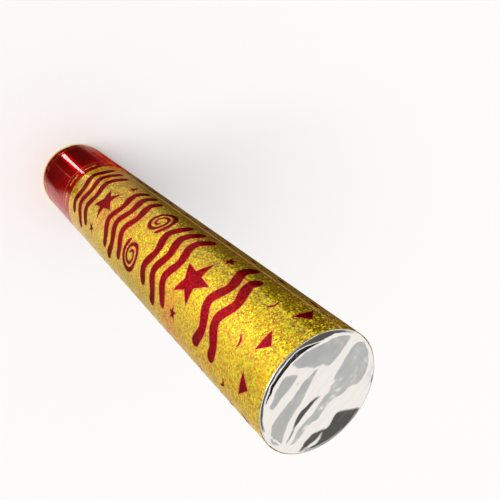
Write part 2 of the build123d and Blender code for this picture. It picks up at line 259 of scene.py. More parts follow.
def lapped_sheet(name, low, high, lift, thickness, finish):
    """A sheet right round the tube, with a step at the lap; lift is its height over the film."""
    bpy.ops.object.select_all(action="DESELECT")
    bpy.ops.mesh.primitive_cylinder_add(
        vertices=SIDES, radius=(RADIUS + lift) * MM, depth=(high - low) * MM,
        end_fill_type="NOTHING", location=(0, 0, (low + high) / 2 * MM))
    sheet = bpy.context.object
    sheet.name = sheet.data.name = name
    bpy.ops.object.transform_apply()
    select_points(sheet, lambda v: abs(angle_of(v.co) - LAP_FROM + SIDE) < NEAR)
    bpy.ops.transform.rotate(value=-math.radians(SIDE - STEP), orient_axis="Z",
                             center_override=(0, 0, 0))
    bpy.ops.object.mode_set(mode="OBJECT")
    select_points(sheet, lambda v: LAP_FROM - NEAR < angle_of(v.co) < LAP_TO + NEAR)
    swell = 1 + FILM / RADIUS
    bpy.ops.transform.resize(value=(swell, swell, 1), center_override=(0, 0, 0))
    bpy.ops.object.mode_set(mode="OBJECT")
    wall = sheet.modifiers.new("film", "SOLIDIFY")
    wall.thickness = thickness * MM
    bpy.ops.object.modifier_apply(modifier=wall.name)
    bpy.ops.object.shade_smooth_by_angle(angle=CREASE)
    sheet.data.materials.append(finish)
    print_radii(sheet)
    return sheet


# %% [markdown]
# ## Two labels
# The gold label covers the barrel and the red one the grip, with a hair of a gap between
# them, where the popper turns. The gold one is cut a little askew at the muzzle, so more of
# the foil's bright edge shows on one side. Its top row of points is lowered for that.

# %% Labels
BARREL_LABEL = (67.2, 299.95)
GRIP_LABEL = (0.4, 66.8)
LABEL_WALL = 0.9 * FILM
ASKEW = 0.3

barrel_skin = lapped_sheet("barrel_film", *BARREL_LABEL, 0.0, LABEL_WALL, gold_film)
for vertex in barrel_skin.data.vertices:
    if vertex.co.z > sum(BARREL_LABEL) / 2 * MM:
        vertex.co.z -= ASKEW * (1 + vertex.co.y / (RADIUS * MM)) * MM
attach(barrel_skin, "barrel")
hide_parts("barrel_label")
grip_skin = lapped_sheet("grip_film", *GRIP_LABEL, 0.0, LABEL_WALL, red_film)
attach(grip_skin, "grip")
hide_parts("grip_label")

# %% [markdown]
# ## Flat motifs
# A print is drawn flat before it is wrapped, so the motifs are modelled flat too, on the
# unrolled label: X runs round the tube in millimetres from the side that faces the camera,
# Z runs along it, and the faces look towards -Y. Stars, dots and triangles start as filled
# circles. The crimson ink ends in a thin salmon line, where it runs out over bare gold, and
# an inset draws that line.

# %% Dots, triangles and stars
EDGE = 0.4
FINE_EDGE = 0.26
STAR_CORNERS = 10
STAR_WAIST = 0.42


def print_inks(motif, inks, edge):
    """Gives the flat motif its ink, and a thin edge in the second ink if there is one."""
    bpy.ops.object.transform_apply()
    for ink in inks:
        motif.data.materials.append(ink)
    if len(inks) > 1:
        bpy.ops.object.mode_set(mode="EDIT")
        bpy.ops.mesh.select_all(action="SELECT")
        motif.active_material_index = 1
        bpy.ops.object.material_slot_assign()
        bpy.ops.mesh.inset(thickness=edge * MM)
        motif.active_material_index = 0
        bpy.ops.object.material_slot_assign()
        bpy.ops.object.mode_set(mode="OBJECT")
    return motif


def spot(inks, corners, radius, s, z, turn=0.0, waist=None, stretch=1.0, edge=EDGE):
    """A dot, a triangle, or a star if its waist is given."""
    bpy.ops.object.select_all(action="DESELECT")
    bpy.ops.mesh.primitive_circle_add(
        vertices=corners, radius=radius * MM, fill_type="NGON",
        location=(s * MM, 0, z * MM), rotation=(math.pi / 2, math.radians(turn), 0))
    motif = bpy.context.object
    if waist:
        select_points(motif, lambda v: v.index % 2 == 1)
        bpy.ops.transform.resize(value=(waist, waist, waist))
        bpy.ops.object.mode_set(mode="OBJECT")
    motif.scale.x = stretch
    return print_inks(motif, inks, edge)


def star(inks, radius, s, z, turn):
    """A star with five points."""
    return spot(inks, STAR_CORNERS, radius, s, z, turn, STAR_WAIST)


# %% [markdown]
# ## Ribbons
# Streamers, curls, crescents, dashes and arrows are all ribbons. A curve with a bevel could
# draw them, but its ends and its width are easier to steer on a strip of squares whose points
# are laid to both sides of a path. The steps crowd towards the ends, which keeps them round.

# %% Ribbons
STRIP_STEPS = 56
GLANCE = 0.002
BLUNTEST = 0.03
CURL_TURNS = 2.1
CURL_SHRINK = 0.82
CURL_THIN = 0.45
CURL_LENGTH = 70
CRESCENT_SWEEP = 2.2
CRESCENT_TIP = 0.7


def strip(inks, path, width, edge=EDGE):
    """A ribbon along path(t), with width(t) across, both in millimetres, for t from 0 to 1."""
    bpy.ops.object.select_all(action="DESELECT")
    bpy.ops.mesh.primitive_grid_add(x_subdivisions=STRIP_STEPS, y_subdivisions=1, size=1)
    motif = bpy.context.object
    for vertex in motif.data.vertices:
        t = 0.5 - 0.5 * math.cos(math.pi * (vertex.co.x + 0.5))
        s, z = path(t)
        ahead, behind = path(t + GLANCE), path(t - GLANCE)
        ds, dz = ahead[0] - behind[0], ahead[1] - behind[1]
        side = math.copysign(width(t) / 2, vertex.co.y) / math.hypot(ds, dz)
        vertex.co = ((s - dz * side) * MM, 0, (z + ds * side) * MM)
    return print_inks(motif, inks, edge)


def blunt(width, length):
    """A width that stays the same up to its rounded ends."""
    def across(t):
        into = min(min(t, 1 - t) * length / (0.5 * width), 1.0)
        return width * math.sqrt(max(1 - (1 - into) ** 2, BLUNTEST))
    return across


def streamer(inks, s, z, length, wave, turns, width, lean, phase):
    """A wavy streamer that runs round the tube."""
    return strip(
        inks,
        lambda t: (s + (t - 0.5) * length,
                   z + lean * (t - 0.5) + wave * math.sin(2 * math.pi * turns * t + phase)),
        blunt(width, length))


def curl(inks, s, z, radius, width, turn):
    """A rolled-up streamer: a spiral that thins towards its middle."""
    def path(t):
        a = math.radians(turn) + 2 * math.pi * CURL_TURNS * t
        r = radius * (1 - CURL_SHRINK * t)
        return s + r * math.cos(a), z + r * math.sin(a)
    return strip(inks, path, lambda t: blunt(width, CURL_LENGTH)(t) * (1 - CURL_THIN * t))


def straight(inks, s, low, high, width):
    """A straight line along the tube."""
    return strip(inks, lambda t: (s, low + (high - low) * t), lambda t: width)


def crescent(inks, s, z, turn, radius, width):
    """A short curved dash."""
    def path(t):
        a = math.radians(turn) + (t - 0.5) * CRESCENT_SWEEP
        return s + radius * math.cos(a), z + radius * math.sin(a)

    def across(t):
        return CRESCENT_TIP + (width - CRESCENT_TIP) * math.sin(math.pi * min(max(t, 0), 1))
    return strip(inks, path, across, FINE_EDGE)


# %% [markdown]
# ## Wrapping a print
# All motifs of one print are joined and sliced across every two millimetres, because a face
# can only bend where it has edges. Points over the label's lap are lifted by its step. Then
# Solidify gives the ink a hair of thickness and a Simple Deform modifier bends the sheet
# into a circle. A Shrinkwrap would also lay it on the tube, but it would squeeze the sides.
# The bent sheet's centre comes out one radius away, so the print is moved back at the end.

# %% Wrapping
INK = 0.05
SINK = 0.02
SLICE = 2.0
BEFORE_LAP = 0.03


def s_of(angle):
    """The flat place in millimetres of an angle round the tube; 0 faces the camera."""
    return RADIUS * math.radians((angle + 90 + 180) % 360 - 180)


def wrap_print(name, motifs, body):
    """Joins flat motifs into one print and bends it round the tube."""
    bpy.ops.object.select_all(action="DESELECT")
    for motif in motifs:
        motif.select_set(True)
    bpy.context.view_layer.objects.active = motifs[0]
    bpy.ops.object.join()
    sheet = bpy.context.object
    sheet.name = sheet.data.name = name
    bpy.ops.object.transform_apply()
    lap_from, lap_to, lap_end = (s_of(a) for a in (LAP_FROM, LAP_TO, LAP_TO + SIDE))
    ends = [f(v.co.x for v in sheet.data.vertices) / MM for f in (min, max)]
    cuts = [i * SLICE for i in range(math.ceil(ends[0] / SLICE), math.ceil(ends[1] / SLICE))]
    bpy.ops.object.mode_set(mode="EDIT")
    for cut in cuts + [lap_from - BEFORE_LAP, lap_from, lap_to, lap_end]:
        bpy.ops.mesh.select_all(action="SELECT")
        bpy.ops.mesh.bisect(plane_co=(cut * MM, 0, 0), plane_no=(1, 0, 0))
    bpy.ops.object.mode_set(mode="OBJECT")
    for vertex in sheet.data.vertices:
        x = vertex.co.x / MM
        ramp = min(max((lap_end - x) / (lap_end - lap_to), 0.0), 1.0)
        vertex.co.y = (SINK - (FILM * ramp if x > lap_from - NEAR else 0.0)) * MM
    thick = sheet.modifiers.new("ink", "SOLIDIFY")
    thick.thickness = (SINK + INK) * MM
    thick.offset = 1.0
    bend = sheet.modifiers.new("wrap", "SIMPLE_DEFORM")
    bend.deform_method = "BEND"
    bend.deform_axis = "Z"
    bend.angle = (ends[1] - ends[0]) / RADIUS
    for step in ("ink", "wrap"):
        bpy.ops.object.modifier_apply(modifier=step)
    sheet.location = (0, -RADIUS * MM, 0)
    bpy.ops.object.transform_apply()
    bpy.ops.object.shade_smooth_by_angle(angle=CREASE)
    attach(sheet, body)
    print_radii(sheet)


# %% [markdown]
# ## The barrel's print
# Bold crimson marks run along the barrel: groups of wavy streamers, stars and rolled-up
# curls. A second set faces the other way, so that the popper looks the same from both sides.
# Every place is written for one side, and the other is the same list, half a turn on.

# %% Barrel print
CRIMSON = (crimson_ink, salmon_ink)
HALF_WAY = math.pi * RADIUS
OTHER_SIDE = HALF_WAY - 2
STREAMERS = (
    # middle of the group along the tube, phase of its waves, lengths of its streamers
    (90, 0.4, (40, 47, 42)),
    (146, 2.2, (43, 48, 41)),
    (203, 0.9, (40, 47, 43)),
    (256, 2.8, (46, 41)),
)
STREAMER_GAP = 10.6
STREAMER_SHIFT = 1.0
STREAMER_WIDTH = 6.0
STREAMER_LEAN = 4.0
WAVE = 2.1
WAVE_LENGTH = 20
WAVE_LAG = 0.25
STARS = (
    # place along the tube, radius, turn in degrees
    (118, 12.0, 8),
    (231.5, 13.0, -12),
)
SMALL_STAR = 4.4
SMALL_STARS = (
    # place round and along the tube beside a large star, and the turn against it
    (-17.5, 4, 20),
    (17.5, -3, -10),
)
CURLS = (
    # place round the tube, turn in degrees
    (-11.5, 40),
    (11.5, 220),
)
CURL_Z = 174.5
CURL_RADIUS = 9.0
CURL_WIDTH = 3.6


def party_band(s):
    """One side's marks, centred on a place round the tube."""
    marks = []
    for middle, phase, lengths in STREAMERS:
        for i, length in enumerate(lengths):
            z = middle + STREAMER_GAP * (i - (len(lengths) - 1) / 2)
            shift = (2 * (i % 2) - 1) * STREAMER_SHIFT
            marks.append(streamer(CRIMSON, s + shift, z, length, WAVE, length / WAVE_LENGTH,
                                  STREAMER_WIDTH, STREAMER_LEAN, phase + WAVE_LAG * i))
    for z, radius, turn in STARS:
        marks.append(star(CRIMSON, radius, s, z, turn))
        for aside, along, turned in SMALL_STARS:
            marks.append(star(CRIMSON, SMALL_STAR, s + aside, z + along, turn + turned))
    for aside, turn in CURLS:
        marks.append(curl(CRIMSON, s + aside, CURL_Z, CURL_RADIUS, CURL_WIDTH, turn))
    return marks


marks = party_band(0.0) + party_band(OTHER_SIDE)
print(len(marks), "bold marks")
wrap_print("barrel_print", marks, "barrel")

# %% [markdown]
# ## Small marks
# A ring of triangles points at the muzzle, close beside it. Dots, crescents and tiny
# triangles, as of falling confetti, fill the two sides between the bold bands, and a row of
# dashes follows the lap. Their places come from remainders, which scatter them without any
# chance in it, so every run gives the same print.

# %% Small marks
TRIANGLES = 9
TRIANGLE_FROM = -92
TRIANGLE_Z = 288.0
TRIANGLE_SIZE = 4.2
TRIANGLE_STRETCH = 1.5
CONFETTI_ROWS = range(77, 276, 14)
DOT = 1.5
SPECK = 2.0
SPECK_ASIDE = 5
CRESCENT_ON = 5
SPECK_ON = 9
SIDE_CRESCENT = (2.6, 1.5)
DASH_ROWS = range(79, 280, 22)
DASH_LENGTH = 6.5
DASH_WIDTH = 2.0
DASH_LEAN = 1.2
BESIDE_LAP = 8.5
MUZZLE_CRESCENT = (2.8, 1.6)
CRESCENTS = (
    # place along and round the tube, turn in degrees
    (273, -14, 70),
    (275, 6, 110),
    (272, 24, 60),
    (273, -62, 60),
    (274, 74, 100),
)

marks = []
for i in range(TRIANGLES):
    s = s_of(TRIANGLE_FROM + i * 360 / TRIANGLES)
    marks.append(spot(CRIMSON, 3, TRIANGLE_SIZE, s, TRIANGLE_Z, stretch=TRIANGLE_STRETCH))
for side in (s_of(0), s_of(180)):
    for row, z in enumerate(CONFETTI_ROWS):
        shift = row * 7 % 17 - 8
        turn = row * 67 % 360
        aside = shift * 0.3 - SPECK_ASIDE
        marks.append(spot(CRIMSON, 16, DOT, side + shift, z, edge=FINE_EDGE))
        marks.append(crescent(CRIMSON, side - shift, z + CRESCENT_ON, turn, *SIDE_CRESCENT))
        marks.append(spot(CRIMSON, 3, SPECK, side + aside, z + SPECK_ON, turn, edge=FINE_EDGE))
for z in DASH_ROWS:
    s = s_of(LAP_FROM - BESIDE_LAP)
    marks.append(strip(CRIMSON, lambda t: (s + DASH_LEAN * t, z + DASH_LENGTH * t),
                       blunt(DASH_WIDTH, DASH_LENGTH), FINE_EDGE))
for z, s, turn in CRESCENTS:
    marks.append(crescent(CRIMSON, s, z, turn, *MUZZLE_CRESCENT))
print(len(marks), "small marks")
wrap_print("barrel_small_print", marks, "barrel")

# %% [markdown]
# ## The lap's cut edge
# Where the label ends on top of itself, the cut shows the tan base of the film as a thin
# matt line along the tube. A narrow strip, set on the step, is enough, and noise makes its
# tan uneven, as a slit edge is.

# %% Lap edge
LAP_EDGE = 0.36
EDGE_GRAIN = 2.0
BARREL_LAP = (67.3, 299.9)
GRIP_LAP = (0.5, 66.7)

cut_edge, shader = new_material("cut_film_edge")
place = add_node(cut_edge, "ShaderNodeTexCoord").outputs["Object"]
ragged = add_node(cut_edge, "ShaderNodeTexNoise",
                  {"Vector": place, "Scale": 1 / (EDGE_GRAIN * MM)})
tan = add_node(cut_edge, "ShaderNodeValToRGB", {"Fac": ragged.outputs["Fac"]})
set_ramp(tan, [(0.35, "#a8703c"), (0.65, "#d09a66")])
link(cut_edge, tan.outputs["Color"], shader, "Base Color")
shader.inputs["Roughness"].default_value = 0.7

s = s_of(LAP_FROM) + LAP_EDGE / 2
line = straight((cut_edge,), s, *BARREL_LAP, LAP_EDGE)
wrap_print("barrel_lap_edge", [line], "barrel")
line = straight((cut_edge,), s, *GRIP_LAP, LAP_EDGE)
wrap_print("grip_lap_edge", [line], "grip")

# %% [markdown]
# ## The grip's bands
# The grip is printed the other way round: gold is left bare in the red. There is a gold band
# round its end, and two thin pale lines frame the panels. The bands go right round, so they
# are lapped sheets as the labels are, and not wrapped prints.

# %% Grip bands
RIM_BAND = (0.5, 3.0)
RINGS = ((8.6, 9.2), (54.9, 55.5))

rim_band = lapped_sheet("grip_rim_band", *RIM_BAND, INK, INK + SINK, gold_film)
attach(rim_band, "grip")
for index, (low, high) in enumerate(RINGS):
    line = lapped_sheet(f"grip_line_{index + 1}", low, high, INK, INK + SINK, pale_ink)
    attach(line, "grip")

# %% [markdown]
# ## The grip's marks
# Short gold dashes circle the grip's end, and gold arrows beside the seam show which way to
# twist. Pale lines part the panels. An arrow is a ribbon too, whose width grows along its
# head and then drops to the shaft.

# %% Dashes, arrows and panel lines
GOLD = (gold_film,)
PALE = (pale_ink,)
DASHES = 28
DASH_SIZE = (3.2, 1.6)
DASH_Z = 5.8
ARROWS = 12
ARROW_FROM = -84
ARROW_LENGTH = 9.6
ARROW_Z = 60.3
ARROW_HEAD = 0.36
ARROW_TIP = 0.4
ARROW_SPREAD = 3.2
ARROW_SHAFT = 1.4
PANELS = 5
PANEL_FROM = -83
PANEL_TURN = 360 / PANELS
PANEL_SPAN = (9.1, 55.0)
PANEL_LINE = 0.5


def arrow_width(t):
    """The width of an arrow, from its tip."""
    return ARROW_TIP + ARROW_SPREAD * t / ARROW_HEAD if t < ARROW_HEAD else ARROW_SHAFT


marks = []
for i in range(DASHES):
    s = (i + 0.5) / DASHES * 2 * HALF_WAY - HALF_WAY
    marks.append(strip(GOLD, lambda t: (s + (t - 0.5) * DASH_SIZE[0], DASH_Z),
                       blunt(DASH_SIZE[1], DASH_SIZE[0])))
for i in range(ARROWS):
    s = s_of(ARROW_FROM + i * 360 / ARROWS)
    marks.append(strip(GOLD, lambda t: (s + (t - 0.5) * ARROW_LENGTH, ARROW_Z), arrow_width))
for i in range(PANELS):
    s = s_of(PANEL_FROM + i * PANEL_TURN)
    marks.append(straight(PALE, s, *PANEL_SPAN, PANEL_LINE))
print(len(marks), "dashes, arrows and lines")

# %% [markdown]
# ## Panels with confetti
# Three of the panels hold a scatter of small confetti marks over two gold stars, and two stay
# bare. Rows and columns give the rough place, and remainders shift each mark a little.

# %% Confetti panels
PANEL_STAR = 3.6
PANEL_STARS = (
    # place round the tube from the panel's middle, place along it, turn in degrees
    (-6.5, 17.5, 15),
    (6.0, 19.5, -10),
)
TINY_DOT = 0.8
TINY_TRIANGLE = 1.3
TINY_CRESCENT = (1.7, 0.9)
ROWS = 6
ROW_GAP = 4.4
FIRST_ROW = 27.5
COLUMNS = 4
COLUMN_GAP = 6.4

for i in range(1, 4):
    s = s_of(PANEL_FROM + (i + 0.5) * PANEL_TURN)
    for aside, z, turn in PANEL_STARS:
        marks.append(star(GOLD, PANEL_STAR, s + aside, z, turn))
    for row in range(ROWS):
        for column in range(COLUMNS):
            count = row * COLUMNS + column
            x = s + (column - 1.5) * COLUMN_GAP + count * 5 % 4 - 1.5
            z = FIRST_ROW + row * ROW_GAP + count * 7 % 3 - 1.0
            if count % 3 == 0:
                marks.append(spot(PALE, 12, TINY_DOT, x, z))
            elif count % 3 == 1:
                marks.append(spot(PALE, 3, TINY_TRIANGLE, x, z, count * 50))
            else:
                marks.append(crescent(PALE, x, z, count * 70, *TINY_CRESCENT))
wrap_print("grip_print", marks, "grip")

# %% [markdown]
# ## The foil lid
# A disc of metallised film is drawn over the muzzle and its skirt is glued under the label.
# A circle is extruded and scaled ring by ring from the skirt, over the rounded mouth and in
# to the middle. A filled disc would have too few points to crease, so the face has many rings.

# %% Foil shape
MOUTH = 25.28
MOUTH_ROUND = 0.5
MOUTH_STEPS = 6
SKIRT_END = 292.0
FOIL_TOP = 300.0
FOIL_SIDES = 256
FACE_RINGS = 84

profile = [(MOUTH + MOUTH_ROUND, SKIRT_END), (MOUTH + MOUTH_ROUND, FOIL_TOP - MOUTH_ROUND)]
for i in range(1, MOUTH_STEPS + 1):
    a = math.pi / 2 * i / MOUTH_STEPS
    profile.append((MOUTH + MOUTH_ROUND * math.cos(a),
                    FOIL_TOP + MOUTH_ROUND * (math.sin(a) - 1)))
for i in range(1, FACE_RINGS):
    profile.append((MOUTH * (1 - i / FACE_RINGS), FOIL_TOP))

bpy.ops.object.select_all(action="DESELECT")
bpy.ops.mesh.primitive_circle_add(vertices=FOIL_SIDES, radius=profile[0][0] * MM,
                                  location=(0, 0, profile[0][1] * MM))
foil = bpy.context.object
foil.name = foil.data.name = "foil_lid"
bpy.ops.object.transform_apply()
bpy.ops.object.mode_set(mode="EDIT")
bpy.ops.mesh.select_all(action="SELECT")
for (r0, z0), (r1, z1) in zip(profile, profile[1:]):
    bpy.ops.mesh.extrude_edges_move(
        TRANSFORM_OT_translate={"value": (0, 0, (z1 - z0) * MM)})
    bpy.ops.transform.resize(value=(r1 / r0, r1 / r0, 1), center_override=(0, 0, 0))
bpy.ops.mesh.edge_face_add()
bpy.ops.mesh.poke()
bpy.ops.mesh.select_all(action="SELECT")
bpy.ops.mesh.normals_make_consistent(inside=False)
bpy.ops.object.mode_set(mode="OBJECT")
print("foil blank", len(foil.data.polygons), "faces")

# %% [markdown]
# ## The foil's folds
# The film is limp and shiny, so it creases into long flat folds that mirror the room as
# white, grey and dark patches. Noise alone gives a lumpy sea, not flat folds with sharp
# borders. So each fold is a strip across the lid, between a lower and an upper edge, that
# climbs at a slope of its own, and the film between the folds falls back to level. Gentle
# slopes mirror grey, and steep ones the dark parts of the room.

# %% Table of folds
FOLDS = [
    # slope, then the lower and the upper edge as (x, y) points in millimetres
    (0.17, [(-24.5, -26), (23, -26)],
     [(-24.5, -6.2), (-22.6, -10.4), (-19, -15.2), (-17, -16.7), (-14, -18.1), (-11, -20.7),
      (-7, -23.7), (-4, -24.6), (0, -24.85), (5, -24.35), (10, -22.75), (15, -19.7),
      (20, -14.6), (23, -9.3)]),
    (-0.25, [(-15, -17.6), (-12, -19.9), (-9, -22.2), (-6.5, -23.8), (-4, -24.3), (0, -24.3),
             (5.3, -23.7), (10, -22.1), (17, -17.6)],
     [(-15, -17.5), (-12, -18.6), (-9, -19.5), (-6.5, -20.2), (-4, -20.7), (0, -21.3),
      (5.3, -21), (10, -19.7), (17, -17.4)]),
    (0.05, [(-22.4, -8.8), (-19, -13.2), (-17, -14.9), (-14, -16.4), (-11.5, -17.8), (-8, -19),
            (-4, -19.9), (-1, -20.6)],
     [(-22.4, -7.6), (-21, -6.8), (-9, -6.4), (-8, -9.4), (-5.5, -11), (-4.5, -13.8),
      (-2, -16.6), (-1, -20.5)]),
    (0.04, [(0.5, -14.6), (3, -18.6), (5, -19.6), (10.5, -17.6), (15.5, -15.2)],
     [(0.5, -14.3), (2, -13.8), (10, -13.7), (15.5, -12.8)]),
    (-0.26, [(1.4, -11.9), (2.8, -12.2), (4.2, -11.9)],
     [(1.4, -11.8), (2.8, -11.4), (4.2, -11.8)]),
    (0.05, [(-5.2, -9.6), (0, -9.8), (10, -8.9), (19.5, -8.6), (22, -6.8), (24.6, -3)],
     [(-5.2, -9.3), (-3, -7.8), (0, -6.3), (5, -4.4), (15, -2.1), (20, 0.2), (23.5, 1.5),
      (24.6, -2)]),
    (0.15, [(0.5, 3), (2, 1), (4, 0), (9, -0.8), (12.5, 0), (15, 1.4), (18, 2.6), (22.5, 3.3)],
     [(0.5, 3.3), (2, 2.5), (4, 1.6), (8, 1.4), (12, 2.2), (15, 2.8), (19, 3.8), (22.5, 3.5)]),
    (0.055, [(-24.6, 0.5), (-23.4, -2.2), (-21, -3.5), (-15, -2.5), (-10, -0.8), (-5, 2.4),
             (-2, 4.5), (8, 5), (15, 4.6), (20, 5.4), (24.4, 5)],
     [(-24.6, 1), (-23.4, 5.5), (-21.5, 8.8), (-19, 10.8), (-16, 12.4), (-12, 12.8),
      (-9, 10.7), (-5, 10.4), (0, 9.3), (8, 9.2), (12, 8.1), (16, 8.6), (19, 8), (21, 6.3),
      (24.4, 5.5)]),
    (0.17, [(-6.7, 24.6), (-4.5, 22.3), (-2.5, 19.8), (-0.5, 17.9), (1.5, 16.8), (3.5, 16.9),
            (5, 17.7), (8, 17.7), (9, 16.7), (12, 13.9), (14.5, 12.9), (18, 12.4),
            (21.6, 12.4)],
     [(-6.7, 26), (21.6, 26)]),
    (-0.25, [(10.5, 17), (13.5, 16.8), (15, 16), (18, 14.9), (21.6, 13)],
     [(10.5, 17.1), (13, 18.3), (15, 18), (18, 16.4), (20, 14.9), (21.6, 13.1)]),
]
print(len(FOLDS), "folds")

# %% [markdown]
# ## The height of a fold
# A line across the lid, at one x, passes one fold after another. The height at a point adds
# up what each fold has climbed so far. The rest of the line gets one slope that brings it
# back to the rim's height at the far end, so the lid stays flat on its mouth. The edges stray
# a little, as creases do, and stop at the rim.

# %% Fold heights
RAGGED = 0.4
BROAD_STRAY = 2.0
FINE_STRAY = 0.625
FINE_SHARE = 0.6
FOLDS_APART = 9.1


def edge_at(points, x):
    """The y of an edge at x, or none where the edge doesn't reach."""
    for (x0, y0), (x1, y1) in zip(points, points[1:]):
        if x0 <= x <= x1:
            return y0 + (y1 - y0) * (x - x0) / (x1 - x0)
    return None


def stray_at(x, index):
    """How far the edges of a fold stray at x, from about -1 to 1."""
    broad = noise.noise((x / BROAD_STRAY, index * FOLDS_APART, 0))
    fine = noise.noise((x / FINE_STRAY, index * FOLDS_APART, 3))
    return broad + FINE_SHARE * fine


def fold_height(x, y):
    """The height of the creased face over a point, in millimetres."""
    reach = math.sqrt(max(MOUTH ** 2 - x * x, 0.01))
    climb = folded = height = passed = 0.0
    for index, (slope, lower, upper) in enumerate(FOLDS):
        low, high = edge_at(lower, x), edge_at(upper, x)
        if low is None or high is None:
            continue
        stray = stray_at(x, index) * (RAGGED * min(high - low, 1.0))
        low = max(low + stray, -reach)
        high = max(min(high + stray, reach), low)
        part = min(max(y - low, 0.0), high - low)
        climb += slope * (high - low)
        folded += high - low
        height += slope * part
        passed += part
    level = -climb / max(2 * reach - folded, 1.0)
    return height + level * (y + reach - passed)


# %% [markdown]
# ## Creasing the lid
# Each point of the face moves to its height. Away from the rim, the heights of a few points
# beside it are averaged, because real film can't jump from one fold to the next. A fine
# crumple goes on top. At the rim the film has to lie on the tube's rounded lip, so the folds
# ease out there and no point sinks below the lip.

# %% Creases
CRUMPLE = 0.05
CRUMPLE_SIZE = 5.0
FINE_CRUMPLE = 0.25 * CRUMPLE
FINE_CRUMPLE_SIZE = 1.8
SMOOTHING = (-0.8, -0.4, 0.0, 0.4, 0.8)
SMOOTH_FROM = 3
SMOOTH_OVER = 4
RIM_EASE = 0.3
LIP_INSIDE = 23.8
LIP_ROUND = 0.7
LIP_TOP = 299.88


def ease(x):
    """A smooth step from 0 to 1."""
    x = min(max(x, 0.0), 1.0)
    return x * x * (3 - 2 * x)


def lip_height(r):
    """The lowest that the film can lie on the tube's rounded lip."""
    if r < LIP_INSIDE:
        return 0.0
    inwards = max(LIP_INSIDE + LIP_ROUND - r, 0.0)
    return LIP_TOP - LIP_ROUND + math.sqrt(LIP_ROUND ** 2 - inwards ** 2)


for vertex in foil.data.vertices:
    x, y, z = (c / MM for c in vertex.co)
    r = math.hypot(x, y)
    if r < MOUTH - NEAR:
        crumple = CRUMPLE * noise.noise((x / CRUMPLE_SIZE, y / CRUMPLE_SIZE, 0))
        crumple += FINE_CRUMPLE * noise.noise((x / FINE_CRUMPLE_SIZE, y / FINE_CRUMPLE_SIZE, 5))
        soft = ease((MOUTH - r - SMOOTH_FROM) / SMOOTH_OVER)
        height = sum(fold_height(x + soft * s, y) for s in SMOOTHING) / len(SMOOTHING)
        z += (height + crumple) * ease((MOUTH - r) / RIM_EASE)
        vertex.co.z = max(z, lip_height(r)) * MM
print("foil folds reach up to", max(v.co.z for v in foil.data.vertices) / MM, "mm")

# %% [markdown]
# ## Metallised film
# The lid is polyester film with a layer of aluminium: nearly a mirror, a little warm, with
# the faint streaks of its rollers. Brushed metal would need a finer, deeper grain, so only
# noise that is stretched along X varies the colour and the roughness.

# %% Metallised film
FOIL_WALL = 0.04
STREAK = 1.2
STREAK_ALONG = 0.12

foil_film, shader = new_material("metallised_film")
place = add_node(foil_film, "ShaderNodeTexCoord").outputs["Object"]
rolled = add_node(foil_film, "ShaderNodeMapping",
                  {"Vector": place, "Scale": (STREAK_ALONG, 1.0, 1.0)})
streaks = add_node(foil_film, "ShaderNodeTexNoise",
                   {"Vector": rolled.outputs["Vector"], "Scale": 1 / (STREAK * MM),
                    "Detail": 3.0})
shade = add_node(foil_film, "ShaderNodeValToRGB", {"Fac": streaks.outputs["Fac"]})
set_ramp(shade, [(0.3, "#efe8e1"), (0.7, "#f4eee8")])
link(foil_film, shade.outputs["Color"], shader, "Base Color")
gloss = add_node(foil_film, "ShaderNodeMapRange",
                 {"Value": streaks.outputs["Fac"], "To Min": 0.07, "To Max": 0.12})
link(foil_film, gloss.outputs["Result"], shader, "Roughness")
shader.inputs["Metallic"].default_value = 1.0

bpy.ops.object.select_all(action="DESELECT")
foil.select_set(True)
bpy.context.view_layer.objects.active = foil
wall = foil.modifiers.new("film", "SOLIDIFY")
wall.thickness = FOIL_WALL * MM
bpy.ops.object.modifier_apply(modifier=wall.name)
bpy.ops.object.shade_smooth()
foil.data.materials.append(foil_film)
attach(foil, "barrel")
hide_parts("foil_seal")
print("foil", len(foil.data.polygons), "faces")

# %% [markdown]
# ## Paperboard
# The tubes and the cup are wound from grey-brown recycled board. Their cut ends show the
# plies as fine rings, about 0.4 mm apart, and the board is mottled by its fibres. A wave
# texture in rings round the tube's axis draws the plies, and noise draws the fibres.

# %% Paperboard
PLY = 0.4
RING_SCALE = 0.314
FIBRE = 1.5
PLY_SHARE = 0.35
BOARD_RELIEF = 0.1

board, shader = new_material("wound_greyboard")
place = add_node(board, "ShaderNodeTexCoord").outputs["Object"]
plies = add_node(board, "ShaderNodeTexWave",
                 {"Vector": place, "Scale": RING_SCALE / (PLY * MM), "Distortion": 1.5,
                  "Detail": 2.0}, wave_type="RINGS", rings_direction="Z")
fibres = add_node(board, "ShaderNodeTexNoise",
                  {"Vector": place, "Scale": 1 / (FIBRE * MM), "Detail": 5.0,
                   "Roughness": 0.7})
mixed = add_node(board, "ShaderNodeMath",
                 {0: plies.outputs["Fac"], 1: PLY_SHARE, 2: fibres.outputs["Fac"]},
                 operation="MULTIPLY_ADD")
brown = add_node(board, "ShaderNodeValToRGB", {"Fac": mixed.outputs["Value"]})
set_ramp(brown, [(0.35, "#806850"), (0.95, "#b49c7e")])
link(board, brown.outputs["Color"], shader, "Base Color")
relief = add_node(board, "ShaderNodeBump",
                  {"Height": mixed.outputs["Value"], "Strength": 0.5,
                   "Distance": BOARD_RELIEF * MM})
link(board, relief.outputs["Normal"], shader, "Normal")
shader.inputs["Roughness"].default_value = 0.9
print("board:", board.name)

# %% [markdown]
# ## Moulded parts
# The plug, bottle, valve, cam and seals are moulded, and hardly show. Moulded plastic has a
# fine grain from its tool and is a little cloudy. One function mixes two near colours by
# noise, lets the same noise vary the gloss, and raises it as a shallow bump. Plain steel
# wire and die-cut paper slips are near enough to be made by it too.

# %% Moulded finish
GLOSS_SPREAD = 0.08


